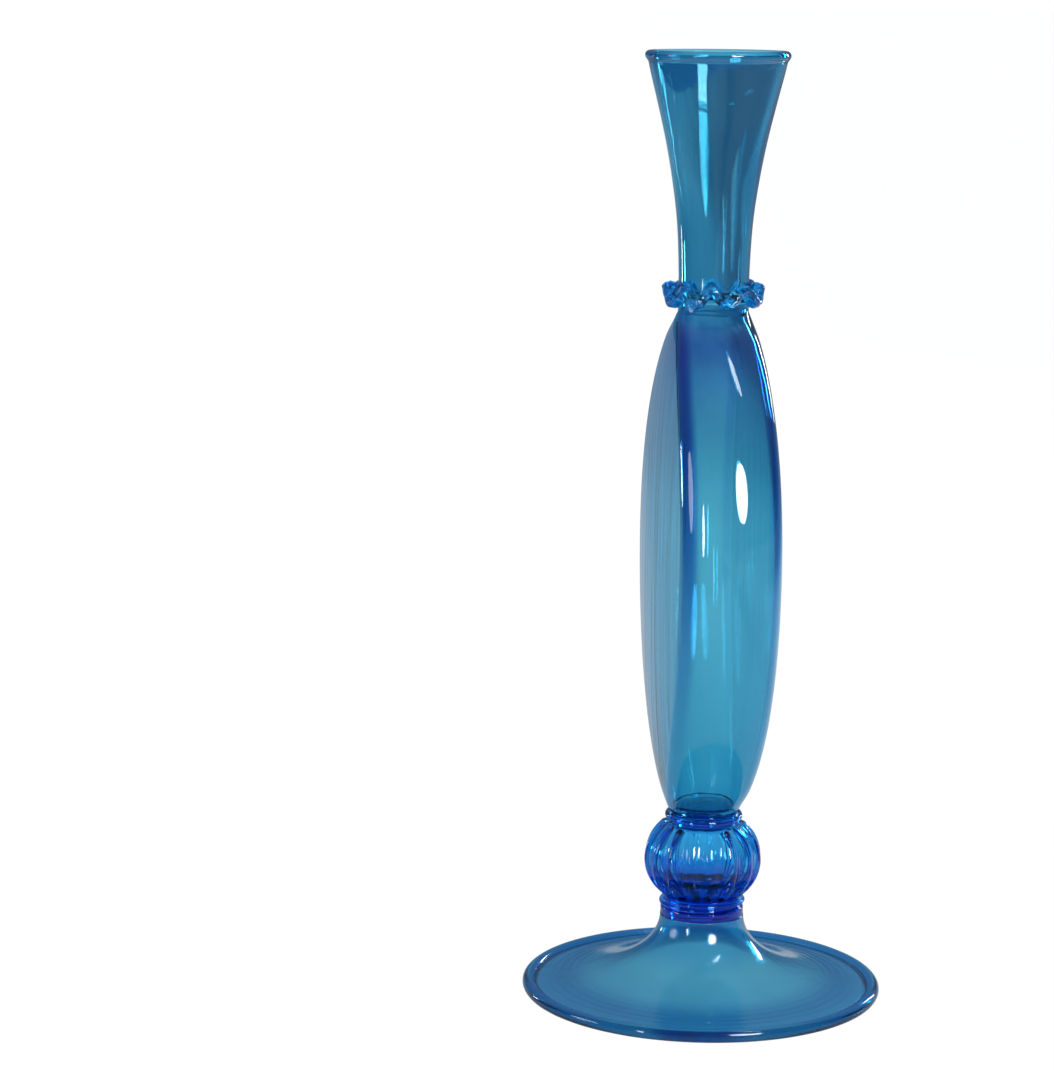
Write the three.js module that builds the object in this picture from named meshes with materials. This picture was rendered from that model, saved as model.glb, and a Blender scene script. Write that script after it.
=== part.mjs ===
// A hand-blown glass candlestick: a hollow foot with a wound rim, a ribbed hollow knop
// between two solid wafers, a flattened moon flask as the stem, and a flared candle cup
// with a crimped collar round its neck. Millimetres, +Z up, origin under the foot's centre.
// The flask's narrow edges face +Y and -Y, and its two broad faces look along +X and -X.
import * as THREE from "three";

// Driving dimensions. Every level is a height above the table.
const GAP = 0.3; // left between two pieces of glass where they meet

const RIM_TOP = 350; // top of the candle cup, so the whole height
const CUP_RADIUS = 26.3; // outside, at the lip
const LIP_RADIUS = 1.7; // half the thickness of the rounded lip
const NECK_RADIUS = 12.9;
const FLARE_START = 268; // the neck is straight below this level
const FLARE_TURN = 0.45; // share of the flare's height at which it bends outwards
const LIP_OVERHANG = 1; // how far the lip stands out past the wall
const LIP_TAPER = 0.8; // thickness of the wall at the lip, as a share of the wall below
const NECK_JOINT = 262; // the cup's glass meets the flask's here, under the collar
const WALL = 2.2; // cup and flask

const COLLAR_LEVEL = 262.3;
const COLLAR_WAVES = 8;
const COLLAR_SWING = 2.7; // how far the crimped ribbon rises and falls
const COLLAR_WIDTH = 5.6; // radially
const COLLAR_THICKNESS = 3.4;

const FLASK_TOP = 256; // where the shoulder leaves the neck
const FLASK_WAIST = 168; // level of the greatest width
const FLASK_BASE = 69;
const FLASK_BASE_RADIUS = 12.6;
const FLASK_HALF_THICKNESS = 20.2;
const FLASK_HALF_WIDTH = 58;
const FACE_POWER = 10; // how flat the broad faces are: 2 would be an ellipse
const EDGE_POWER = 5; // the same for the narrow edges
const EASE = 10; // height over which the round ends turn into the flat-sided section
// Fullness says how square a shoulder or base is, seen along a broad face and facing it.
const EDGE_ON = { reach: FLASK_HALF_THICKNESS, shoulder: 0.67, base: 0.85 };
const FACE_ON = { reach: FLASK_HALF_WIDTH, shoulder: 0.26, base: 0.2 };
const SHOULDER_DROP = 0.13; // how far below the neck the shoulder spreads, as a share of the rise
const BASE_LIFT = 0.12; // how far above the base the belly draws in, as a share of the fall
const WAIST_LENGTH = 0.55; // how long the sides stay upright above and below the waist

const KNOP_CENTRE = 51.2;
const KNOP_RADIUS = 22; // at the crest of a rib
const KNOP_HALF_HEIGHT = 19;
const KNOP_TOP = 64.6;
const KNOP_BASE = 37;
const KNOP_WALL = 3.6;
const RIBS = 16;
const RIB_DEPTH = 0.8;

const UPPER_WAFER_RADIUS = 12.3;
const UPPER_TURNS = 1.3; // of the thread wound round the upper wafer
const BAND_RADIUS = 15.5; // the foot wafer is a plain band below
const BAND_TOP = 33.2;
const BAND_BEVEL = 0.6;
const WAIST_RADIUS = 14.2; // and a narrower waist above, which carries a thread
const FOOT_TURNS = 1;
const THREAD = 1.5; // thickness of both threads
const THREAD_PITCH = 1.7;

const FOOT_TOP = 29.5;
const FOOT_NECK_RADIUS = 15.6;
const FOOT_RADIUS = 67; // outside, over the rolled rim
const RIM_THICKNESS = 4.8;
const RIM_WIDTH = 4.8;
const RIM_OVERLAP = 0.6; // how far the disc runs in under the rim
const CREASE_DEPTH = 0.9; // how far the disc lies below the top of the rim
const REST_INNER = 1.6; // the flat ring the foot rests on, inwards from the rim's middle
const REST_OUTER = 1.1; // and outwards
const FOOT_SHEET = 2.4; // thickness of the foot's glass
const SWEEP_LEVEL = 0.63; // share of the foot's height at which its neck starts to flare
const SWEEP_SPREAD = 0.3; // how much wider the neck is there
const DISC_START = 28; // radius at which the flare has turned into the disc
const DISC_RISE = 2.8; // height of the disc there above its edge

// How finely the round surfaces are cut.
const ROUND = 36;
const SMALL_ROUND = 30;
const FOOT_ROUND = 48;

const blue = { color: 0x1f7fb4, roughness: 0.05, metalness: 0 };
const deepBlue = { color: 0x0f3fa8, roughness: 0.05, metalness: 0 };

const candlestick = new THREE.Group();

function addPiece(name, geometry, finish) {
  const piece = new THREE.Mesh(geometry, new THREE.MeshStandardMaterial(finish));
  piece.name = name;
  candlestick.add(piece);
  return piece;
}

const point = (radius, level) => new THREE.Vector2(radius, level);

// A closed profile of (radius, level) points, spun round +Z. The points run anticlockwise
// with the radius to the right and the level upwards, so that the faces point out.
function spin(profile, segments = ROUND) {
  const loop = [...profile];
  if (profile[0].x > 0) loop.push(profile[0].clone());
  return new THREE.LatheGeometry(loop, segments).rotateX(Math.PI / 2);
}

// Points of an elliptical arc in the profile plane, angles in degrees.
function arc(centreRadius, centreLevel, halfWidth, halfHeight, from, to, steps) {
  const curve = new THREE.EllipseCurve(
    centreRadius,
    centreLevel,
    halfWidth,
    halfHeight,
    THREE.MathUtils.degToRad(from),
    THREE.MathUtils.degToRad(to),
    to < from,
  );
  return curve.getPoints(steps);
}

// A smooth curve from one point to another, leaving and arriving along the two handles.
const bend = (start, leave, arrive, end, steps) =>
  new THREE.CubicBezierCurve(start, leave, arrive, end).getPoints(steps);

// --- candle cup -----------------------------------------------------------------------

function candleCup() {
  const lipCentre = CUP_RADIUS - LIP_RADIUS;
  const lipLevel = RIM_TOP - LIP_RADIUS;
  const wallTop = lipLevel - LIP_RADIUS;
  const flare = (offset, steps) => {
    const low = point(NECK_RADIUS - offset, FLARE_START);
    const high = point(CUP_RADIUS - LIP_OVERHANG - offset * LIP_TAPER, wallTop);
    const handle = point(low.x, THREE.MathUtils.lerp(FLARE_START, wallTop, FLARE_TURN));
    return new THREE.QuadraticBezierCurve(low, handle, high).getPoints(steps);
  };
  const base = NECK_JOINT + GAP / 2;
  const outside = [point(NECK_RADIUS, base), ...flare(0, 7)];
  const lip = arc(lipCentre, lipLevel, LIP_RADIUS, LIP_RADIUS, -30, 210, 8);
  const inside = [...flare(WALL, 5).reverse(), point(NECK_RADIUS - WALL, base)];
  return spin([...outside, ...lip, ...inside]);
}

addPiece("candle_cup", candleCup(), blue);

// --- crimped collar -------------------------------------------------------------------

// A ribbon of glass laid round the neck and pinched up and down into waves.
function crimpedCollar() {
  const inner = NECK_RADIUS + GAP;
  const centre = inner + COLLAR_WIDTH / 2;
  const collar = new THREE.TorusGeometry(centre, 1, 7, COLLAR_WAVES * 7);
  const places = collar.getAttribute("position");
  const v = new THREE.Vector3();
  for (let i = 0; i < places.count; i += 1) {
    v.fromBufferAttribute(places, i);
    const angle = Math.atan2(v.y, v.x);
    const across = (Math.hypot(v.x, v.y) - centre) * (COLLAR_WIDTH / 2);
    const swing = COLLAR_SWING * Math.sin(COLLAR_WAVES * angle);
    const radius = centre + across;
    v.set(
      radius * Math.cos(angle),
      radius * Math.sin(angle),
      v.z * (COLLAR_THICKNESS / 2) + swing,
    );
    places.setXYZ(i, v.x, v.y, v.z);
  }
  return collar;
}

addPiece("crimped_collar", crimpedCollar(), blue).position.z = COLLAR_LEVEL;

// --- moon flask -----------------------------------------------------------------------

// The flask's outline seen from one side, from neck to base, pushed in by the inset.
function flaskOutline(seen, inset) {
  const neck = NECK_RADIUS - inset;
  const base = FLASK_BASE_RADIUS - inset;
  const most = seen.reach - inset;
  const baseLevel = FLASK_BASE + inset;
  const rise = FLASK_TOP - FLASK_WAIST;
  const fall = FLASK_WAIST - baseLevel;
  const shoulder = bend(
    point(neck, FLASK_TOP),
    point(neck + (most - neck) * seen.shoulder, FLASK_TOP - rise * SHOULDER_DROP),
    point(most, FLASK_WAIST + rise * WAIST_LENGTH),
    point(most, FLASK_WAIST),
    8,
  );
  const belly = bend(
    point(most, FLASK_WAIST),
    point(most, FLASK_WAIST - fall * WAIST_LENGTH),
    point(base + (most - base) * seen.base, baseLevel + fall * BASE_LIFT),
    point(base, baseLevel),
    8,
  );
  return [...shoulder, ...belly.slice(1)];
}

// A point of the flask's flat-sided section. Roundness 1 gives an ellipse, 0 the flat section.
function sectionPoint(angle, halfThickness, halfWidth, roundness) {
  const edge = THREE.MathUtils.lerp(EDGE_POWER, 2, roundness);
  const face = THREE.MathUtils.lerp(FACE_POWER, 2, roundness);
  const c = Math.cos(angle);
  const s = Math.sin(angle);
  const x = halfThickness * Math.sign(c) * Math.abs(c) ** (2 / edge);
  const y = halfWidth * Math.sign(s) * Math.abs(s) ** (2 / face);
  return [x, y];
}

function moonFlask() {
  const sheet = (inset) => {
    const thick = flaskOutline(EDGE_ON, inset);
    const wide = flaskOutline(FACE_ON, inset);
    return thick.map((p, i) => ({ level: p.y, thick: p.x, wide: wide[i].x }));
  };
  const neckRing = (inset) => {
    const radius = NECK_RADIUS - inset;
    return { level: NECK_JOINT - GAP / 2, thick: radius, wide: radius };
  };
  const centre = (level) => ({ level, thick: 0, wide: 0 });
  const rings = [
    centre(FLASK_BASE),
    ...[neckRing(0), ...sheet(0)].reverse(),
    neckRing(WALL),
    ...sheet(WALL),
    centre(FLASK_BASE + WALL),
  ];
  // The lathe gives the closed form, and each ring is then drawn out to its own section.
  const profile = rings.map((ring) => point(ring.thick, ring.level));
  const flask = spin(profile);
  const places = flask.getAttribute("position");
  for (let i = 0; i < places.count; i += 1) {
    const ring = rings[i % rings.length];
    const column = Math.floor(i / rings.length) % ROUND;
    const angle = (column / ROUND) * 2 * Math.PI;
    const fromEnd = Math.min(FLASK_TOP - ring.level, ring.level - FLASK_BASE);
    const roundness = 1 - THREE.MathUtils.smoothstep(fromEnd, 0, EASE);
    const [x, y] = sectionPoint(angle, ring.thick, ring.wide, roundness);
    places.setXYZ(i, x, y, ring.level);
  }
  return flask;
}

addPiece("moon_flask", moonFlask(), blue);

// --- ribbed knop ----------------------------------------------------------------------

// A hollow knop blown in a ribbed mould. Its two open ends are closed by the wafers.
function ribbedKnop() {
  const side = (halfWidth, halfHeight, steps) => {
    const low = Math.asin((KNOP_BASE - KNOP_CENTRE) / halfHeight);
    const high = Math.asin((KNOP_TOP - KNOP_CENTRE) / halfHeight);
    const toDegrees = THREE.MathUtils.radToDeg;
    return arc(0, KNOP_CENTRE, halfWidth, halfHeight, toDegrees(low), toDegrees(high), steps);
  };
  const outside = side(KNOP_RADIUS, KNOP_HALF_HEIGHT, 8);
  const inside = side(KNOP_RADIUS - KNOP_WALL, KNOP_HALF_HEIGHT - KNOP_WALL, 6).reverse();
  const profile = [...outside, ...inside];
  const knop = spin(profile, RIBS * 4);
  const places = knop.getAttribute("position");
  const ringCount = profile.length + 1;
  for (let i = 0; i < places.count; i += 1) {
    if (i % ringCount >= outside.length && i % ringCount < profile.length) continue;
    const x = places.getX(i);
    const y = places.getY(i);
    const dip = (RIB_DEPTH / 2) * (1 - Math.cos(RIBS * Math.atan2(y, x)));
    const shrink = 1 - dip / KNOP_RADIUS;
    places.setXYZ(i, x * shrink, y * shrink, places.getZ(i));
  }
  return knop;
}

addPiece("ribbed_knop", ribbedKnop(), deepBlue);

// --- solid wafers and wound threads ---------------------------------------------------

// A thread of round glass wound downwards round a wafer, starting just under the level above.
function woundThread(waferRadius, levelAbove, turns) {
  const radius = waferRadius + GAP + THREAD / 2;
  const startLevel = levelAbove - GAP - THREAD / 2;
  const wind = new THREE.Curve();
  wind.getPoint = (t, target = new THREE.Vector3()) => {
    const angle = t * turns * 2 * Math.PI;
    const level = startLevel - THREAD_PITCH * turns * t;
    return target.set(radius * Math.cos(angle), radius * Math.sin(angle), level);
  };
  const section = new THREE.Shape();
  section.absellipse(0, 0, THREAD / 2, THREAD / 2, 0, 2 * Math.PI);
  return new THREE.ExtrudeGeometry(section, {
    steps: Math.round(turns * SMALL_ROUND),
    curveSegments: 3,
    bevelEnabled: false,
    extrudePath: wind,
  });
}

// The upper wafer joins the flask to the knop.
function upperWafer() {
  const base = KNOP_TOP + GAP;
  const top = FLASK_BASE - GAP;
  const side = [point(UPPER_WAFER_RADIUS, base), point(UPPER_WAFER_RADIUS, top)];
  return spin([point(0, base), ...side, point(0, top)], SMALL_ROUND);
}

addPiece("upper_wafer", upperWafer(), deepBlue);
addPiece("upper_thread", woundThread(UPPER_WAFER_RADIUS, FLASK_BASE, UPPER_TURNS), deepBlue);

// The foot wafer joins the knop to the foot.
function footWafer() {
  const base = FOOT_TOP + GAP;
  const top = KNOP_BASE - GAP;
  const side = [
    point(BAND_RADIUS, base),
    point(BAND_RADIUS, BAND_TOP - BAND_BEVEL),
    point(BAND_RADIUS - BAND_BEVEL, BAND_TOP),
    point(WAIST_RADIUS, BAND_TOP),
    point(WAIST_RADIUS, top),
  ];
  return spin([point(0, base), ...side, point(0, top)], SMALL_ROUND);
}

addPiece("foot_wafer", footWafer(), deepBlue);
addPiece("foot_thread", woundThread(WAIST_RADIUS, KNOP_BASE, FOOT_TURNS), deepBlue);

// --- foot -----------------------------------------------------------------------------

// A hollow trumpet foot: its neck flares into a thin, gently rising disc whose edge is
// rolled under into a thick round rim, flattened below where it rests on the table.
function trumpetFoot() {
  const rimCentre = FOOT_RADIUS - RIM_WIDTH / 2;
  const rimLevel = RIM_THICKNESS / 2;
  const crease = FOOT_RADIUS - RIM_WIDTH + RIM_OVERLAP;
  const creaseLevel = RIM_THICKNESS - CREASE_DEPTH;
  const flare = (inset, steps) =>
    bend(
      point(FOOT_NECK_RADIUS - inset, FOOT_TOP),
      point(FOOT_NECK_RADIUS + SWEEP_SPREAD - inset, FOOT_TOP * SWEEP_LEVEL - inset / 2),
      point(DISC_START - inset / 2, creaseLevel + DISC_RISE - inset),
      point(crease, creaseLevel - inset),
      steps,
    );
  const rim = arc(rimCentre, rimLevel, RIM_WIDTH / 2, rimLevel, -60, 120, 9);
  const under = [point(rimCentre - REST_INNER, 0), point(rimCentre + REST_OUTER, 0)];
  const outside = [...rim, ...flare(0, 12).reverse()];
  const inside = flare(FOOT_SHEET, 10);
  return spin([...under, ...outside, ...inside], FOOT_ROUND);
}

addPiece("trumpet_foot", trumpetFoot(), blue);

export default candlestick;
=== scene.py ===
"""A pale studio with one hand-blown blue glass candlestick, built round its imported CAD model."""
import math

import bmesh
import bpy
import numpy as np
from mathutils import Matrix, Vector


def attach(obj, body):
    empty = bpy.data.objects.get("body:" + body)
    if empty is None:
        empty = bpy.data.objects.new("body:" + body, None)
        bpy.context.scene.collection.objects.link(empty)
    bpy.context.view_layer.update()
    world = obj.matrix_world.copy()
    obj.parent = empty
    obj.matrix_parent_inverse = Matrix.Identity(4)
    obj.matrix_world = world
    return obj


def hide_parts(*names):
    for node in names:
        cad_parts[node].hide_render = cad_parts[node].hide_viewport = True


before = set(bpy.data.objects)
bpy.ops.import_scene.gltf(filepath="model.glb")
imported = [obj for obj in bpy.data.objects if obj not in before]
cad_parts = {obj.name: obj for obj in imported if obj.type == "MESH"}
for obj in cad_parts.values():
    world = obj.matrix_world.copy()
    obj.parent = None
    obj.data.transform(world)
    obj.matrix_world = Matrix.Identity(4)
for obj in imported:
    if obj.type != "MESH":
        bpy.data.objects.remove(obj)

MM = 0.001
TAU = 2 * math.pi
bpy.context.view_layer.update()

# Levels and radii that the glass shares with the CAD model, in millimetres.
NECK_RADIUS = 12.9
NECK_JOINT = 262.0
JOINT_GAP = 0.04  # the fused joints are only a hair's breadth open here
WALL = 2.1
FLASK_BASE = 69.0
FLASK_TOP = 256.0
FLASK_WAIST = 168.0
FLASK_BASE_RADIUS = 12.6
FLASK_HALF_THICKNESS = 20.2
FLASK_HALF_WIDTH = 58.0
KNOP_TOP = 64.6
KNOP_BASE = 37.0
KNOP_CENTRE = 51.2
KNOP_RADIUS = 22.0
KNOP_HALF_HEIGHT = 19.0
RIBS = 16
FOOT_TOP = 29.5


# --- curves -----------------------------------------------------------------------------

def smooth_path(points, steps):
    """A Catmull-Rom curve through the points, with centripetal spacing."""
    pts = [np.array(p, float) for p in points]
    pts = [2 * pts[0] - pts[1]] + pts + [2 * pts[-1] - pts[-2]]
    out = []
    for a, b, c, d in zip(pts, pts[1:], pts[2:], pts[3:]):
        knots = [0.0]
        for p, q in ((a, b), (b, c), (c, d)):
            knots.append(knots[-1] + math.sqrt(np.linalg.norm(q - p)))
        t0, t1, t2, t3 = knots
        for i in range(steps):
            t = t1 + (t2 - t1) * i / steps
            ab = (t1 - t) / (t1 - t0) * a + (t - t0) / (t1 - t0) * b
            bc = (t2 - t) / (t2 - t1) * b + (t - t1) / (t2 - t1) * c
            cd = (t3 - t) / (t3 - t2) * c + (t - t2) / (t3 - t2) * d
            abc = (t2 - t) / (t2 - t0) * ab + (t - t0) / (t2 - t0) * bc
            bcd = (t3 - t) / (t3 - t1) * bc + (t - t1) / (t3 - t1) * cd
            out.append((t2 - t) / (t2 - t1) * abc + (t - t1) / (t2 - t1) * bcd)
    out.append(pts[-2])
    return out


def bezier(start, leave, arrive, end, steps):
    """Points of a cubic curve that leaves and arrives along its two handles."""
    a, b, c, d = (np.array(p, float) for p in (start, leave, arrive, end))
    out = []
    for t in np.linspace(0, 1, steps + 1):
        u = 1 - t
        out.append(u ** 3 * a + 3 * t * u ** 2 * b + 3 * t * t * u * c + t ** 3 * d)
    return out


def arc(centre, half_width, half_height, start, end, steps):
    """Points of an elliptical arc in the profile plane, angles in degrees."""
    turns = np.radians(np.linspace(start, end, steps + 1))
    return [np.array((centre[0] + half_width * math.cos(a), centre[1] + half_height * math.sin(a)))
            for a in turns]


def ramp_up(value, start, length):
    """0 up to start, then rising to 1 over the length."""
    return min(max((value - start) / length, 0), 1)


# --- meshes -----------------------------------------------------------------------------

def mesh_object(name, vertices, faces):
    """A smooth mesh from points in millimetres, with its normals facing out."""
    mesh = bpy.data.meshes.new(name)
    mesh.from_pydata([tuple(float(c) * MM for c in v) for v in vertices], [], faces)
    mesh.validate()
    form = bmesh.new()
    form.from_mesh(mesh)
    bmesh.ops.recalc_face_normals(form, faces=form.faces)
    form.to_mesh(mesh)
    form.free()
    mesh.shade_smooth()
    piece = bpy.data.objects.new(name, mesh)
    bpy.context.collection.objects.link(piece)
    return piece


def ring_mesh(name, rings, closed=False):
    """A closed skin over rings of points. A ring of one point is a pole.

    Without poles, closed joins the last ring to the first, as a torus does."""
    vertices = []
    starts = []
    for ring in rings:
        starts.append(len(vertices))
        vertices.extend(ring)
    faces = []
    pairs = list(zip(range(len(rings)), range(1, len(rings))))
    if closed:
        pairs.append((len(rings) - 1, 0))
    for lower, upper in pairs:
        m, n = len(rings[lower]), len(rings[upper])
        for i in range(max(m, n)):
            j = (i + 1) % max(m, n)
            a, b = starts[lower] + i % m, starts[lower] + j % m
            c, d = starts[upper] + j % n, starts[upper] + i % n
            if m == 1:
                faces.append((a, c, d))
            elif n == 1:
                faces.append((a, b, c))
            else:
                faces.append((a, b, c, d))
    return mesh_object(name, vertices, faces)


def turned(name, profile, segments, shape=None, closed=False):
    """A profile of (radius, level) spun round +Z. shape(angle, radius, level) may bend it."""
    rings = []
    for radius, level in profile:
        if radius == 0:
            rings.append([(0, 0, level)])
            continue
        ring = []
        for i in range(segments):
            angle = TAU * i / segments
            r, z = shape(angle, radius, level) if shape else (radius, level)
            ring.append((r * math.cos(angle), r * math.sin(angle), z))
        rings.append(ring)
    return ring_mesh(name, rings, closed)


def place(piece, material, slot, *nodes):
    """Gives a piece its material and puts it in the place of nodes of the CAD model."""
    piece.data.materials.append(material)
    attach(piece, "root")
    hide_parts(*nodes)


# --- shader nodes -----------------------------------------------------------------------

def add_node(nodes, kind, inputs=None, **settings):
    """A new shader node with its settings and the constant values of its inputs."""
    node = nodes.new(kind)
    for key, value in settings.items():
        setattr(node, key, value)
    for key, value in (inputs or {}).items():
        node.inputs[key].default_value = value
    return node


def new_material(name):
    """An empty node material, with its nodes and its links."""
    material = bpy.data.materials.new(name)
    material.use_nodes = True
    material.node_tree.nodes.clear()
    return material, material.node_tree.nodes, material.node_tree.links


def colour_ramp(nodes, stops, interpolation="EASE"):
    """A ramp through stops of (position, colour)."""
    ramp = add_node(nodes, "ShaderNodeValToRGB")
    ramp.color_ramp.interpolation = interpolation
    while len(ramp.color_ramp.elements) < len(stops):
        ramp.color_ramp.elements.new(0.5)
    for stop, (position, colour) in zip(ramp.color_ramp.elements, stops):
        stop.position = position
        stop.color = (*colour, 1)
    return ramp


def multiplied_colour(nodes, links, shade, tint, factor=1.0):
    """Shade times tint, where the tint is an output or a plain colour."""
    product = add_node(nodes, "ShaderNodeMix", data_type="RGBA", blend_type="MULTIPLY")
    for key, value in (("A", shade), ("B", tint), ("Factor", factor)):
        if isinstance(value, bpy.types.NodeSocket):
            links.new(value, product.inputs[key])
        else:
            product.inputs[key].default_value = value
    return product.outputs["Result"]


# --- glass ------------------------------------------------------------------------------

CLEAR = (0.98, 0.99, 1.0)  # what a surface without any tint lets through
CLEAR_AT_CORDS = tuple(c * 0.93 for c in CLEAR)
GLASS_IOR = 1.5
CORD_RANGE = (0.3, 0.7)  # the part of the noise between darker and lighter cords
RELIEF = 0.002  # metres between the highest and the lowest of the waves
SEEDS_PER_METRE = 55.0
SEED_RADIUS = 0.045  # of the distance between seed bubbles
SEED_HEIGHT = 0.35  # of the relief
# The tints by level and by radius are painted shade.
TINT_HEIGHT = 0.35  # metres over which the tints by level are set
TINT_RADIUS = 0.07  # metres over which the tints by radius are set

# Painted shade: the flask's corners are painted deeper blue, most at the front, standing in for the darker
# blue the glass shows there in its light. A corner is where the normal turns from the edge's way to the
# broad face's way: how far the normal points sideways, and the strength there.
PAINTED_CORNER_SHADE = ((0.50, 0), (0.78, 1), (0.93, 1), (0.995, 0))
CORNER_LOW = (0.085, 0.20)  # levels in metres, from no strength to full strength
CORNER_HIGH = (0.262, 0.248)
CORNER_FRONT = (0.01, -0.01)  # the same from back to front, in metres
# The painted corner shade keeps this share of its strength at the back.
BACK_CORNER_STRENGTH = 0.25


def tinted(nodes, links, shade, along, reach, tints):
    """Multiplies shade by a tint of painted shade that changes with along, which runs from 0 to reach
    metres.
    """
    share = add_node(nodes, "ShaderNodeMapRange", {"From Max": reach})
    ramp = colour_ramp(nodes, [(distance * MM / reach, colour) for distance, colour in tints])
    links.new(along, share.inputs["Value"])
    links.new(share.outputs["Result"], ramp.inputs["Fac"])
    return multiplied_colour(nodes, links, shade, ramp.outputs["Color"])


def tinted_by_radius(nodes, links, shade, spot, radii):
    """Multiplies shade by a tint of painted shade that changes with the distance from the axis."""
    flattened = add_node(nodes, "ShaderNodeVectorMath", {1: (1, 1, 0)}, operation="MULTIPLY")
    radius = add_node(nodes, "ShaderNodeVectorMath", operation="LENGTH")
    links.new(spot.outputs["Object"], flattened.inputs[0])
    links.new(flattened.outputs["Vector"], radius.inputs[0])
    return tinted(nodes, links, shade, radius.outputs["Value"], TINT_RADIUS, radii)


def with_painted_corner_shade(nodes, links, shade, spot, split, painted_corner_tint):
    """Multiplies shade by a tint of painted shade along the flask's corners, mostly the front ones."""
    facing = add_node(nodes, "ShaderNodeSeparateXYZ")
    sideways = add_node(nodes, "ShaderNodeMath", operation="ABSOLUTE")
    corner = colour_ramp(nodes, [(position, (amount,) * 3) for position, amount in PAINTED_CORNER_SHADE])
    links.new(spot.outputs["Normal"], facing.inputs["Vector"])
    links.new(facing.outputs["X"], sideways.inputs[0])
    links.new(sideways.outputs["Value"], corner.inputs["Fac"])
    amount = corner.outputs["Color"]
    for axis, (none, full), least in (("Z", CORNER_LOW, 0), ("Z", CORNER_HIGH, 0),
                                      ("Y", CORNER_FRONT, BACK_CORNER_STRENGTH)):
        part = add_node(nodes, "ShaderNodeMapRange",
                        {"From Min": none, "From Max": full, "To Min": least})
        product = add_node(nodes, "ShaderNodeMath", operation="MULTIPLY")
        links.new(split.outputs[axis], part.inputs["Value"])
        links.new(amount, product.inputs[0])
        links.new(part.outputs["Result"], product.inputs[1])
        amount = product.outputs["Value"]
    return multiplied_colour(nodes, links, shade, (*painted_corner_tint, 1), amount)


def cords_and_seeds(nodes, links, spot, wave, wave_scale, streak):
    """Faint cords in the glass as a noise, and a relief of cords and seed bubbles as a bump."""
    stretch = add_node(nodes, "ShaderNodeMapping", {"Scale": streak})
    cords = add_node(nodes, "ShaderNodeTexNoise", {"Scale": wave_scale, "Detail": 2.0})
    seeds = add_node(nodes, "ShaderNodeTexVoronoi", {"Scale": SEEDS_PER_METRE})
    bubble = add_node(nodes, "ShaderNodeMapRange",
                      {"From Min": SEED_RADIUS, "From Max": 0.0, "To Max": SEED_HEIGHT},
                      interpolation_type="SMOOTHSTEP")
    height = add_node(nodes, "ShaderNodeMath", operation="ADD")
    bump = add_node(nodes, "ShaderNodeBump", {"Strength": wave, "Distance": RELIEF})
    links.new(spot.outputs["Object"], stretch.inputs["Vector"])
    links.new(stretch.outputs["Vector"], cords.inputs["Vector"])
    links.new(spot.outputs["Object"], seeds.inputs["Vector"])
    links.new(seeds.outputs["Distance"], bubble.inputs["Value"])
    links.new(bubble.outputs["Result"], height.inputs[0])
    links.new(cords.outputs["Fac"], height.inputs[1])
    links.new(height.outputs["Value"], bump.inputs["Height"])
    return cords, bump


def glass(name, per_mm, wave=0.02, wave_scale=90.0, streak=(1, 1, 1), roughness=0.0,
          levels=None, radii=None, painted_corner_tint=None):
    """Clear coloured glass. per_mm is what red, green and blue lose in a millimetre. The tints by level, by
    radius and at the corners are painted shade.
    """
    material, nodes, links = new_material(name)
    output = add_node(nodes, "ShaderNodeOutputMaterial")
    shader = add_node(nodes, "ShaderNodeBsdfPrincipled",
                      {"Transmission Weight": 1.0, "IOR": GLASS_IOR, "Roughness": roughness})
    strongest = max(per_mm)
    volume = add_node(nodes, "ShaderNodeVolumeAbsorption",
                      {"Color": (*[1 - k / strongest for k in per_mm], 1),
                       "Density": strongest / MM})
    spot = add_node(nodes, "ShaderNodeTexCoord")
    cords, bump = cords_and_seeds(nodes, links, spot, wave, wave_scale, streak)
    shade = colour_ramp(nodes, list(zip(CORD_RANGE, (CLEAR_AT_CORDS, CLEAR))), "LINEAR")
    links.new(cords.outputs["Fac"], shade.inputs["Fac"])
    colour = shade.outputs["Color"]
    split = add_node(nodes, "ShaderNodeSeparateXYZ")
    links.new(spot.outputs["Object"], split.inputs["Vector"])
    if levels:
        colour = tinted(nodes, links, colour, split.outputs["Z"], TINT_HEIGHT, levels)
    if radii:
        colour = tinted_by_radius(nodes, links, colour, spot, radii)
    if painted_corner_tint:
        colour = with_painted_corner_shade(nodes, links, colour, spot, split, painted_corner_tint)
    links.new(colour, shader.inputs["Base Color"])
    links.new(bump.outputs["Normal"], shader.inputs["Normal"])
    links.new(shader.outputs["BSDF"], output.inputs["Surface"])
    links.new(volume.outputs["Volume"], output.inputs["Volume"])
    return material


# Tints are listed by level or by radius, in millimetres. They are painted shade, given glass by glass below.
BODY = (0.50, 0.125, 0.062)  # lost per millimetre
# Painted shade: the cup a little darker at the foot of its neck and at its lip.
cup_blue = glass(
    "cup_blue", BODY, wave=0.05, roughness=0.03, streak=(1, 1, 0.2),
    levels=[(262, (0.92, 0.96, 1.0)), (300, (1, 1, 1)), (349, (0.95, 0.97, 1.0))])
# Painted shade: the flask darker at its base and over its shoulder, most just below the neck.
flask_blue = glass(
    "flask_blue", BODY, wave=0.06, wave_scale=60.0, streak=(1, 1, 0.12),
    levels=[(70, (0.85, 0.88, 1.0)), (79, (1, 1, 1)), (180, (1, 1, 1)), (208, (0.70, 0.79, 0.84)),
            (228, (0.66, 0.76, 0.90)), (245, (0.46, 0.58, 0.86)), (254, (0.85, 0.93, 1.0))],
    # deep blue painted shade along the flask's corners
    painted_corner_tint=(0.12, 0.24, 0.70))
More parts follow.
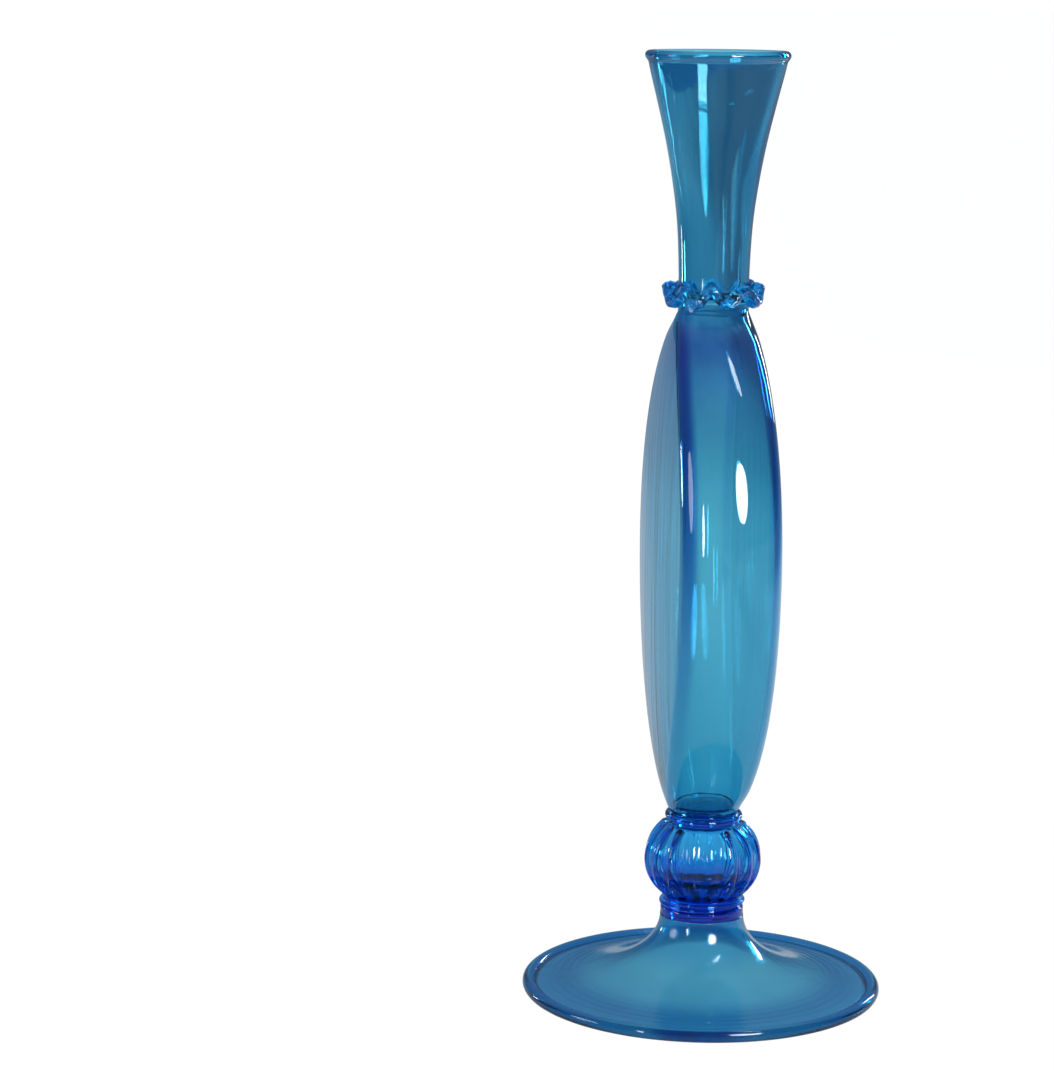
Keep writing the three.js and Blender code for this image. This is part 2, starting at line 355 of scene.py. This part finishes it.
# Painted shade: the foot darker up its neck, in a band at 52 mm radius and most in the crease inside its
# rim; the rim's edge is left clear.
foot_blue = glass(
    "foot_blue", BODY, wave=0.04, roughness=0.11,
    levels=[(10, (1, 1, 1)), (20, (0.6, 0.83, 0.98)), (29, (0.55, 0.80, 0.98))],
    radii=[(24, (0.7, 0.98, 1)), (38, (0.65, 0.93, 1)), (52, (0.22, 0.55, 0.80)),
           (61.7, (0.3, 0.66, 0.9)), (62.2, (0.08, 0.25, 0.7)), (64.0, (0.08, 0.25, 0.7)),
           (64.9, (1, 1, 1))])
trail_blue = glass("trail_blue", (0.42, 0.070, 0.004), wave=0.05, wave_scale=300.0)
base_blue = glass("base_blue", (0.08, 0.022, 0.002))
# Painted shade: the knop darkest at its base, clear above its middle and a little darker at its top.
knop_blue = glass(
    "knop_blue", (0.52, 0.095, 0.012),
    levels=[(37, (0.22, 0.32, 0.82)), (45, (0.46, 0.62, 0.93)), (51, (0.85, 0.92, 1.0)),
            (55.5, (1, 1, 1)), (62, (0.8, 0.88, 1.0))])
deep_blue = glass("deep_blue", (0.60, 0.10, 0.012))
wafer_blue = glass("wafer_blue", (0.32, 0.065, 0.009))
thread_blue = glass("thread_blue", (2.2, 0.42, 0.045))


# --- candle cup -------------------------------------------------------------------------

CUP_WALL = 2.2
LIP_RADIUS = 1.75
UNEVEN_WALL = 0.8  # the bubble was blown a little off centre
THICK_SIDE = math.radians(-10)
UNEVEN_FROM, UNEVEN_RISE = 283, 22  # level where that starts, and the height it takes
LIP_BASE, UNEVEN_FALL = 346.5, 34  # level where it ends, and the height that takes


def candle_cup():
    """The flared, hollow cup with its rounded lip."""
    base = NECK_JOINT + JOINT_GAP / 2
    bore = NECK_RADIUS - CUP_WALL
    outside = smooth_path([(NECK_RADIUS, base), (NECK_RADIUS, 271), (13.85, 289), (15.75, 303.4),
                           (18.4, 317.8), (21.7, 332), (24.2, 342), (25.1, 346)], steps=8)
    lip = arc((24.55, 348.25), LIP_RADIUS, LIP_RADIUS, start=-35, end=205, steps=20)
    inside = smooth_path([(22.8, LIP_BASE), (22.0, 342.5), (19.6, 332.3), (16.3, 318.3),
                          (13.6, 304), (11.6, 289), (bore, 271), (bore, base)], steps=8)
    inner_edge = {tuple(p) for p in inside}

    def uneven(angle, radius, level):
        if (radius, level) not in inner_edge:
            return radius, level
        share = ramp_up(level, UNEVEN_FROM, UNEVEN_RISE) * ramp_up(-level, -LIP_BASE, UNEVEN_FALL)
        return radius - UNEVEN_WALL * share * math.cos(angle - THICK_SIDE), level
    return turned("cup_glass", [*outside, *lip, *inside], segments=160, shape=uneven, closed=True)


place(candle_cup(), cup_blue, "blue_glass", "candle_cup")


# --- crimped collar ---------------------------------------------------------------------

COLLAR_LEVEL = 262.3
COLLAR_WAVES = 8
COLLAR_SWING = 2.55
COLLAR_REACH = 2.8  # half the trail's width, radially
COLLAR_HALF_THICKNESS = 2.0
COLLAR_CLEARANCE = 0.06  # between the trail and the neck
CREST_ANGLE = math.radians(-101)  # one of the waves peaks here
STEPS_PER_WAVE = 44
TRAIL_SIDES = 40
WIDE_RIDGE = 0.05  # the trail's own ridges, as a share of its thickness
FINE_RIDGE = 0.04
# No two waves are quite alike: how far they stray, in phase, height and radius.
PHASE_DRIFT = (0.35, 0.25)  # once and three times round
SWING_DRIFT = 0.12
RADIUS_DRIFT = 0.15
COLLAR_STAND_OFF = 0.1
AHEAD = 0.002  # radians to the point that shows which way the trail runs


def collar_centre(angle):
    """The middle of the trail and the phase of its wave."""
    once, thrice = PHASE_DRIFT
    phase = COLLAR_WAVES * (angle - CREST_ANGLE) + once * math.sin(angle + 2) + thrice * math.sin(3 * angle)
    swing = COLLAR_SWING * (1 + SWING_DRIFT * math.sin(2 * angle + 0.5))
    radius = NECK_RADIUS + COLLAR_STAND_OFF + COLLAR_REACH + RADIUS_DRIFT * math.sin(5 * angle)
    level = COLLAR_LEVEL + swing * math.cos(phase)
    return np.array((radius * math.cos(angle), radius * math.sin(angle), level)), phase


def crimped_collar():
    """A ridged trail of glass laid round the neck and pinched into waves."""
    rings = []
    count = COLLAR_WAVES * STEPS_PER_WAVE
    for i in range(count):
        angle = TAU * i / count
        centre, phase = collar_centre(angle)
        ahead, _ = collar_centre(angle + AHEAD)
        along = (ahead - centre) / np.linalg.norm(ahead - centre)
        outward = np.array((math.cos(angle), math.sin(angle), 0))
        outward = outward - along * outward.dot(along)
        outward /= np.linalg.norm(outward)
        upward = np.cross(outward, along)
        ring = []
        for k in range(TRAIL_SIDES):
            a = TAU * k / TRAIL_SIDES
            ridge = 1 + WIDE_RIDGE * math.cos(3 * a - 1.5 * phase) + FINE_RIDGE * math.cos(8 * a + 2 * phase)
            across = COLLAR_REACH * ridge * math.cos(a)
            rise = COLLAR_HALF_THICKNESS * ridge * math.sin(a)
            p = centre + outward * across + upward * rise
            radius = math.hypot(p[0], p[1])
            keep = max(radius, NECK_RADIUS + COLLAR_CLEARANCE) / radius
            ring.append((p[0] * keep, p[1] * keep, p[2]))
        rings.append(ring)
    return ring_mesh("collar_glass", rings, closed=True)


place(crimped_collar(), trail_blue, "trail_glass", "crimped_collar")


# --- moon flask -------------------------------------------------------------------------

FLASK_COLUMNS = 256
FACE_COLUMNS = 0.2  # shares of the columns of a quarter of the section
EDGE_COLUMNS = 0.3
EASE = 10.0  # height over which the round ends turn into the flat-sided section
FACE_TURN = math.radians(5)  # how far a broad face turns from its middle to the corner
EDGE_TURN = math.radians(30)  # the same for a narrow edge
EDGE_RADIUS = 32.0
CORNER_RADIUS = 12.0
INNER_CORNER_RADIUS = 11.2
NECK_BASE = 259.0  # the neck is upright above this
# Each outline is full where it leaves the neck and the base, by a share of its whole reach.
EDGE_ON = {"reach": FLASK_HALF_THICKNESS, "shoulder": 0.67, "base": 0.85}
FACE_ON = {"reach": FLASK_HALF_WIDTH, "shoulder": 0.26, "base": 0.2}
WAIST_LENGTH = 0.55  # how long the sides stay upright above and below the waist
SHOULDER_DROP = 0.13
BASE_LIFT = 0.12
FLASK_STEPS = 40
BASE_GLASS_TOP = 74.0
BASE_GLASS_HOLLOW = 3.2
BASE_GLASS_GAP = 0.2
DISH_STEPS = 12


def section(half_thickness, half_width, roundness, corner_radius=CORNER_RADIUS):
    """The flask's level section: a nearly flat face, a tight corner and a gently bowed edge.

    It is walked by the angle of its outward normal, with a radius of curvature for each part."""
    steps = FLASK_COLUMNS // 4
    face_steps = int(steps * FACE_COLUMNS)
    edge_steps = int(steps * EDGE_COLUMNS)
    corner_start, corner_end = FACE_TURN, math.pi / 2 - EDGE_TURN
    normals = np.concatenate((
        np.linspace(0, corner_start, face_steps, endpoint=False),
        np.linspace(corner_start, corner_end, steps - face_steps - edge_steps, endpoint=False),
        np.linspace(corner_end, math.pi / 2, edge_steps + 1)))
    middle = (normals[1:] + normals[:-1]) / 2
    face_radius = max(half_width - corner_radius, 1) / math.sin(FACE_TURN)
    radius = np.where(middle < corner_start, face_radius,
                      np.where(middle < corner_end, corner_radius, EDGE_RADIUS))
    radius = radius * (1 - roundness) + half_thickness * roundness
    step = radius * np.diff(normals)
    x = np.concatenate(([0], np.cumsum(-np.sin(middle) * step)))
    y = np.concatenate(([0], np.cumsum(np.cos(middle) * step)))
    x = (x - x[-1]) * half_thickness / (x[0] - x[-1])
    y = y * half_width / y[-1]
    quarter = list(zip(x, y))
    second = [(-a, b) for a, b in quarter[::-1]]
    half = quarter[:-1] + second[:-1]
    return half + [(-a, -b) for a, b in half]


def flask_outline(view, inset):
    """Half of the flask's outline, edge on or face on, from the neck down to the base."""
    neck = NECK_RADIUS - inset
    base = FLASK_BASE_RADIUS - inset
    most = view["reach"] - inset
    base_level = FLASK_BASE + inset
    rise = FLASK_TOP - FLASK_WAIST
    fall = FLASK_WAIST - base_level
    shoulder = bezier((neck, FLASK_TOP),
                      (neck + (most - neck) * view["shoulder"], FLASK_TOP - rise * SHOULDER_DROP),
                      (most, FLASK_WAIST + rise * WAIST_LENGTH), (most, FLASK_WAIST), FLASK_STEPS)
    belly = bezier((most, FLASK_WAIST), (most, FLASK_WAIST - fall * WAIST_LENGTH),
                   (base + (most - base) * view["base"], base_level + fall * BASE_LIFT),
                   (base, base_level), FLASK_STEPS)
    return shoulder + belly[1:]


def flask_rings(inset):
    """The flask's level sections from the neck down, inset from its outside."""
    rings = []
    for (thick, level), (wide, _) in zip(flask_outline(EDGE_ON, inset), flask_outline(FACE_ON, inset)):
        ease = min(max(min(FLASK_TOP - level, level - FLASK_BASE) / EASE, 0), 1)
        roundness = 1 - ease * ease * (3 - 2 * ease)
        corner = INNER_CORNER_RADIUS if inset else CORNER_RADIUS
        rings.append([(x, y, level) for x, y in section(thick, wide, roundness, corner)])
    return rings


def moon_flask():
    """The hollow flask with its neck. It is open at the base, where the solid bottom fits."""
    def with_neck(inset):
        neck = section(NECK_RADIUS - inset, NECK_RADIUS - inset, 1)
        upright = [[(x, y, z) for x, y in neck] for z in (NECK_JOINT - JOINT_GAP / 2, NECK_BASE)]
        return upright + flask_rings(inset)
    inside = with_neck(WALL)
    inside.append([(x, y, FLASK_BASE) for x, y, _ in inside[-1]])
    return ring_mesh("flask_glass", [*with_neck(0)[::-1], *inside], closed=True)


def flask_base():
    """The solid bottom of the bubble, thickest where it stands on the wafer."""
    side = [ring for ring in flask_rings(WALL + BASE_GLASS_GAP) if ring[0][2] < BASE_GLASS_TOP]
    side.append([(x, y, FLASK_BASE + JOINT_GAP) for x, y, _ in side[-1]])
    dish = [[(0, 0, side[0][0][2] - BASE_GLASS_HOLLOW)]]
    for k in range(DISH_STEPS - 1, 0, -1):
        turn = math.pi / 2 * k / DISH_STEPS
        drop = BASE_GLASS_HOLLOW * math.sin(turn)
        dish.append([(x * math.cos(turn), y * math.cos(turn), z - drop) for x, y, z in side[0]])
    pole = [(0, 0, side[-1][0][2])]
    return ring_mesh("flask_base_glass", [*dish, *side, pole])


place(moon_flask(), flask_blue, "blue_glass", "moon_flask")
place(flask_base(), base_blue, "blue_glass", "moon_flask")


# --- ribbed knop ------------------------------------------------------------------------

KNOP_SIDE = 2.8  # thickness of the glass at the knop's equator
KNOP_SHOULDER = 3.6  # and towards its top, where the bubble opens on to the wafer
KNOP_FLOOR = 1.8
RIB_DEPTH = 1.6
INNER_RIB_DEPTH = 1.3
RIB_DRIFT = 0.03  # how far the ribs stray from even spacing, in radians
SHARP_RIB = 0.45  # share of the rib's shape that has a narrow ridge; the rest is a soft wave
RIDGE_WIDTH = 0.02
SEGMENTS_PER_RIB = 16
HAIRLINE = 0.01  # the floor closes to a hair's breadth round the axis


def ribbed_knop():
    """A hollow ball with upright ribs and a solid floor."""
    base = KNOP_BASE + JOINT_GAP
    top = KNOP_TOP - JOINT_GAP
    centre = (0, KNOP_CENTRE)
    inner_radius = KNOP_RADIUS - KNOP_SIDE
    inner_height = KNOP_HALF_HEIGHT - KNOP_SHOULDER
    inner_depth = KNOP_CENTRE - KNOP_BASE - KNOP_FLOOR

    def turn_at(level, half_height):
        return math.degrees(math.asin((level - KNOP_CENTRE) / half_height))
    outside = arc(centre, KNOP_RADIUS, KNOP_HALF_HEIGHT,
                  turn_at(base, KNOP_HALF_HEIGHT), turn_at(top, KNOP_HALF_HEIGHT), steps=36)
    inside = arc(centre, inner_radius, inner_height, turn_at(top, inner_height), 0, steps=20)
    inside += arc(centre, inner_radius, inner_depth, 0, -89.5, steps=20)[1:]
    inner_edge = {tuple(p) for p in inside}

    def ribs(angle, radius, level):
        depth = INNER_RIB_DEPTH if (radius, level) in inner_edge else RIB_DEPTH
        turn = RIBS / 2 * (angle + RIB_DRIFT * math.sin(3 * angle + level / 9))
        sharp = 1 - math.sqrt(math.cos(turn) ** 2 + RIDGE_WIDTH)
        soft = math.sin(turn) ** 2
        groove = SHARP_RIB * sharp + (1 - SHARP_RIB) * soft
        return radius - depth * groove * radius / KNOP_RADIUS, level
    profile = [*outside, *inside, (HAIRLINE, base)]
    return turned("knop_glass", profile, segments=RIBS * SEGMENTS_PER_RIB, shape=ribs, closed=True)


place(ribbed_knop(), knop_blue, "deep_blue_glass", "ribbed_knop")


# --- wafers and threads -----------------------------------------------------------------

WAFER_FACE_RING = 0.6  # an extra ring on a wafer's flat faces, as a share of their radius
THREAD_STEPS = 120  # in a whole turn
THREAD_SIDES = 20
THREAD_TAPER = 9
THREAD_END = 0.05  # share of the thickness that is left at the very end


def wafer(name, base, top, profile):
    """A solid of glass between two levels. Its profile gives a radius at shares of the height."""
    low = base + JOINT_GAP
    high = top - JOINT_GAP
    side = smooth_path([(r, low + (high - low) * f) for r, f in profile], steps=6)
    lower = (side[0][0] * WAFER_FACE_RING, low)
    upper = (side[-1][0] * WAFER_FACE_RING, high)
    return turned(name, [(0, low), lower, *side, upper, (0, high)], segments=128)


def thread(name, inner, start, pitch, thick, wide, turns, first_angle, droop=0.0):
    """A wound thread, thick along the axis and wide across it, thinning out at its ends.

    Its front sags by the droop."""
    count = int(turns * THREAD_STEPS)
    rings = []
    for i in range(count + 1):
        t = i / count
        angle = first_angle + TAU * turns * t
        level = start - pitch * turns * t - droop * (1 - math.sin(angle)) / 2
        swell = min(1, math.sqrt(min(t, 1 - t) * turns * THREAD_TAPER) + THREAD_END)
        ring = []
        for k in range(THREAD_SIDES):
            a = TAU * k / THREAD_SIDES
            r = inner + wide / 2 * (1 + swell * math.cos(a))
            z = level + thick / 2 * swell * math.sin(a)
            ring.append((r * math.cos(angle), r * math.sin(angle), z))
        rings.append(ring)

    def middle(ring):
        return [tuple(np.mean(np.array(ring), axis=0))]
    return ring_mesh(name, [middle(rings[0]), *rings, middle(rings[-1])])


place(wafer("upper_wafer_glass", KNOP_TOP, FLASK_BASE, [(12.3, 0), (12.2, 0.5), (12.3, 1)]),
      wafer_blue, "deep_blue_glass", "upper_wafer")
place(thread("upper_thread_glass", inner=12.75, start=68.5, pitch=0.5, thick=2.4, wide=1.8,
             turns=1.1, first_angle=2.6, droop=1.4),
      thread_blue, "deep_blue_glass", "upper_thread")
place(wafer("foot_wafer_glass", FOOT_TOP, KNOP_BASE,
            [(15.4, 0), (15.5, 0.25), (15.4, 0.42), (14.3, 0.55), (14.2, 0.8), (14.3, 1)]),
      deep_blue, "deep_blue_glass", "foot_wafer")
place(thread("foot_thread_glass", inner=14.35, start=36.0, pitch=1.75, thick=1.7, wide=1.7,
             turns=1.25, first_angle=3.2),
      thread_blue, "deep_blue_glass", "foot_thread")


# --- foot -------------------------------------------------------------------------------

TOOL_RING_HEIGHT = 0.035  # rings that the tool left in the foot as it was opened
TOOL_RING_PITCH = 3.1
TOOL_RINGS_FROM, TOOL_RINGS_RISE = 42, 6  # radius where they start, and over which they grow
TOOL_RINGS_TO, TOOL_RINGS_FALL = 60, 3  # radius where they end, and over which they fade


def trumpet_foot():
    """A hollow neck that flares into a thin disc, with its rim folded under and rolled."""
    top = FOOT_TOP - JOINT_GAP
    upper = bezier((15.6, top), (15.9, 18.6), (28, 7.3), (62.6, 3.5), steps=150)
    tooled = []
    for r, z in upper:
        grow = ramp_up(r, TOOL_RINGS_FROM, TOOL_RINGS_RISE)
        fade = ramp_up(-r, -TOOL_RINGS_TO, TOOL_RINGS_FALL)
        ring = TOOL_RING_HEIGHT * math.sin(r * TAU / TOOL_RING_PITCH) * grow * fade
        tooled.append((r, z + ring))
    rim = arc((64.65, 2.4), 2.35, 2.4, start=-68, end=150, steps=28)
    under = bezier((62.2, 1.4), (28.2, 4.7), (13.4, 16.5), (13.1, top), steps=50)
    fold = [(62.8, 0.8), (63.3, 0.2), (63.8, 0.03)]
    profile = [fold[-1], *rim, *tooled[::-1], *under[::-1], *fold[:2]]
    return turned("foot_glass", profile, segments=224, closed=True)


place(trumpet_foot(), foot_blue, "blue_glass", "trumpet_foot")


# --- studio -----------------------------------------------------------------------------

TABLE = (1.0, 0.96, 0.95)  # what the glass sees near by
ROOM = (0.34, 0.47, 0.58)  # and further off
ROOM_DARK = (0.05, 0.09, 0.18)
# How light the room is round the back: how far across a direction points, and the light there.
ROOM_LIGHT = ((-0.55, 0.1), (-0.24, 1), (0.115, 1), (0.20, 0.25), (0.32, 0.3), (0.42, 1))
ROOM_VIEWPOINT = (0, -1.2, 0)  # the directions are measured from here
TABLE_CENTRE = (0.42, 0.80, 0.0)
TABLE_REACH = (0.68, 1.5, 2.0)  # metres from the centre to where the room's tone takes over
TABLE_EVEN = 0.25  # share of the reach before the table starts to fade
EVEN_SHARE = 0.75  # how much of the floor's light is the same everywhere, with no shadows in it
CAMERA_WHITE = 1.04
CAMERA_SHARE = 0.95  # the rest of what the camera sees is the floor that the glass sees
FLOOR_HALF = 40 / MM
SIDES = (0.07, 0.19, 0.36)
OVERHEAD = (0.35, 0.40, 0.50)
FRONT_SHARE = 0.3  # how much of the overhead light there is on the camera's side
BEHIND = (-0.7, 0.4)  # how far back a direction points, between that share and the whole


def room_tone(nodes, links, spot):
    """The room's colour in each direction from its viewpoint."""
    viewed = add_node(nodes, "ShaderNodeVectorMath", {1: ROOM_VIEWPOINT}, operation="SUBTRACT")
    direction = add_node(nodes, "ShaderNodeVectorMath", operation="NORMALIZE")
    across = add_node(nodes, "ShaderNodeSeparateXYZ")
    halved = add_node(nodes, "ShaderNodeMapRange", {"From Min": -1.0})
    side = colour_ramp(nodes, [((p + 1) / 2, (amount,) * 3) for p, amount in ROOM_LIGHT])
    room = add_node(nodes, "ShaderNodeMix", {"A": (*ROOM_DARK, 1), "B": (*ROOM, 1)}, data_type="RGBA")
    links.new(spot.outputs["Object"], viewed.inputs[0])
    links.new(viewed.outputs["Vector"], direction.inputs[0])
    links.new(direction.outputs["Vector"], across.inputs["Vector"])
    links.new(across.outputs["X"], halved.inputs["Value"])
    links.new(halved.outputs["Result"], side.inputs["Fac"])
    links.new(side.outputs["Color"], room.inputs["Factor"])
    return room.outputs["Result"]


def table_tone(nodes, links):
    """The pale table, fading into the room's colour."""
    spot = add_node(nodes, "ShaderNodeTexCoord")
    shrink = add_node(nodes, "ShaderNodeMapping",
                      {"Location": [-c / r for c, r in zip(TABLE_CENTRE, TABLE_REACH)],
                       "Scale": [1 / r for r in TABLE_REACH]})
    away = add_node(nodes, "ShaderNodeVectorMath", operation="LENGTH")
    fade = add_node(nodes, "ShaderNodeMapRange", {"From Min": TABLE_EVEN}, interpolation_type="SMOOTHSTEP")
    tone = add_node(nodes, "ShaderNodeMix", {"A": (*TABLE, 1)}, data_type="RGBA")
    links.new(spot.outputs["Object"], shrink.inputs["Vector"])
    links.new(shrink.outputs["Vector"], away.inputs[0])
    links.new(away.outputs["Value"], fade.inputs["Value"])
    links.new(fade.outputs["Result"], tone.inputs["Factor"])
    links.new(room_tone(nodes, links, spot), tone.inputs["B"])
    return tone.outputs["Result"]


def studio_floor():
    """White to the camera. To the glass it is a pale table that fades into a darker room."""
    material, nodes, links = new_material("pale_floor")
    tone = table_tone(nodes, links)
    matt = add_node(nodes, "ShaderNodeBsdfDiffuse")
    lit = add_node(nodes, "ShaderNodeEmission")
    ground = add_node(nodes, "ShaderNodeMixShader", {"Fac": EVEN_SHARE})
    white = add_node(nodes, "ShaderNodeEmission", {"Strength": CAMERA_WHITE})
    ray = add_node(nodes, "ShaderNodeLightPath")
    seen = add_node(nodes, "ShaderNodeMath", {1: CAMERA_SHARE}, operation="MULTIPLY")
    mix = add_node(nodes, "ShaderNodeMixShader")
    output = add_node(nodes, "ShaderNodeOutputMaterial")
    links.new(tone, matt.inputs["Color"])
    links.new(tone, lit.inputs["Color"])
    links.new(matt.outputs["BSDF"], ground.inputs[1])
    links.new(lit.outputs["Emission"], ground.inputs[2])
    links.new(ray.outputs["Is Camera Ray"], seen.inputs[0])
    links.new(seen.outputs["Value"], mix.inputs["Fac"])
    links.new(ground.outputs["Shader"], mix.inputs[1])
    links.new(white.outputs["Emission"], mix.inputs[2])
    links.new(mix.outputs["Shader"], output.inputs["Surface"])
    return material


def table():
    """The pale floor, wide enough to fill the picture."""
    corners = [(-FLOOR_HALF, -FLOOR_HALF, 0), (FLOOR_HALF, -FLOOR_HALF, 0),
               (FLOOR_HALF, FLOOR_HALF, 0), (-FLOOR_HALF, FLOOR_HALF, 0)]
    floor = mesh_object("floor", corners, [(0, 1, 2, 3)])
    floor.data.materials.append(studio_floor())


def studio_world():
    """Soft light from above, darker round the horizon, and plain white to the camera."""
    world = bpy.data.worlds.new("studio")
    bpy.context.scene.world = world
    world.use_nodes = True
    nodes = world.node_tree.nodes
    links = world.node_tree.links
    nodes.clear()
    output = add_node(nodes, "ShaderNodeOutputWorld")
    spot = add_node(nodes, "ShaderNodeTexCoord")
    split = add_node(nodes, "ShaderNodeSeparateXYZ")
    behind = add_node(nodes, "ShaderNodeMapRange",
                      {"From Min": BEHIND[0], "From Max": BEHIND[1], "To Min": FRONT_SHARE})
    height = add_node(nodes, "ShaderNodeMath", operation="MULTIPLY")
    sky = colour_ramp(nodes, [(0, SIDES), (1, OVERHEAD)], "LINEAR")
    soft = add_node(nodes, "ShaderNodeBackground")
    white = add_node(nodes, "ShaderNodeBackground", {"Color": (1, 1, 1, 1)})
    ray = add_node(nodes, "ShaderNodeLightPath")
    mix = add_node(nodes, "ShaderNodeMixShader")
    links.new(spot.outputs["Generated"], split.inputs["Vector"])
    links.new(split.outputs["Y"], behind.inputs["Value"])
    links.new(split.outputs["Z"], height.inputs[0])
    links.new(behind.outputs["Result"], height.inputs[1])
    links.new(height.outputs["Value"], sky.inputs["Fac"])
    links.new(sky.outputs["Color"], soft.inputs["Color"])
    links.new(ray.outputs["Is Camera Ray"], mix.inputs["Fac"])
    links.new(soft.outputs["Background"], mix.inputs[1])
    links.new(white.outputs["Background"], mix.inputs[2])
    links.new(mix.outputs["Shader"], output.inputs["Surface"])


LIGHT_TARGET = Vector((0, 0, 0.2))  # the lights all point at the flask's middle


def soft_box(name, azimuth, elevation, distance, size, power):
    """An oval light, azimuth degrees round from the front towards the right.

    Its distance and size are in metres and its power in watts."""
    light = bpy.data.lights.new(name, "AREA")
    light.shape = "ELLIPSE"
    light.size, light.size_y = size
    light.energy = power
    box = bpy.data.objects.new(name, light)
    turn, rise = math.radians(azimuth), math.radians(elevation)
    outward = Vector((math.sin(turn) * math.cos(rise), -math.cos(turn) * math.cos(rise), math.sin(rise)))
    box.location = LIGHT_TARGET + distance * outward
    box.rotation_euler = (-outward).to_track_quat("-Z", "Y").to_euler()
    bpy.context.collection.objects.link(box)


table()
studio_world()
soft_box("overhead", 52, 64, 2.0, (0.16, 0.6), 2.6)
soft_box("window", 20, 23, 1.9, (0.62, 0.85), 34)
soft_box("front_strip", -47, 5, 1.8, (0.10, 0.60), 4)
soft_box("left_window", -88, 9, 1.9, (0.7, 0.7), 6)
soft_box("back_strip", -136, -2.5, 1.8, (0.12, 0.2), 1.2)
soft_box("rim_light", 135, 12, 1.8, (0.12, 0.6), 4)


# --- camera -----------------------------------------------------------------------------

# The camera stands a little above the candlestick and looks past its left side.
CAMERA_DISTANCE = 1.1985
CAMERA_HEIGHT = 0.3763
LENS = 110.84
AZIMUTH = math.radians(-10.34)
HEADING = math.radians(-7.135)
PITCH = math.radians(9.66)
ROLL = math.radians(0.58)


def add_camera():
    lens = bpy.data.cameras.new("camera")
    lens.lens = LENS
    camera = bpy.data.objects.new("camera", lens)
    camera.location = (CAMERA_DISTANCE * math.sin(AZIMUTH), -CAMERA_DISTANCE * math.cos(AZIMUTH),
                       CAMERA_HEIGHT)
    heading = Matrix.Rotation(HEADING, 4, "Z")
    tilt = Matrix.Rotation(math.pi / 2 - PITCH, 4, "X")
    roll = Matrix.Rotation(ROLL, 4, "Z")
    camera.rotation_euler = (heading @ tilt @ roll).to_euler()
    bpy.context.collection.objects.link(camera)
    bpy.context.scene.camera = camera


add_camera()
bpy.context.scene.view_settings.view_transform = "Standard"
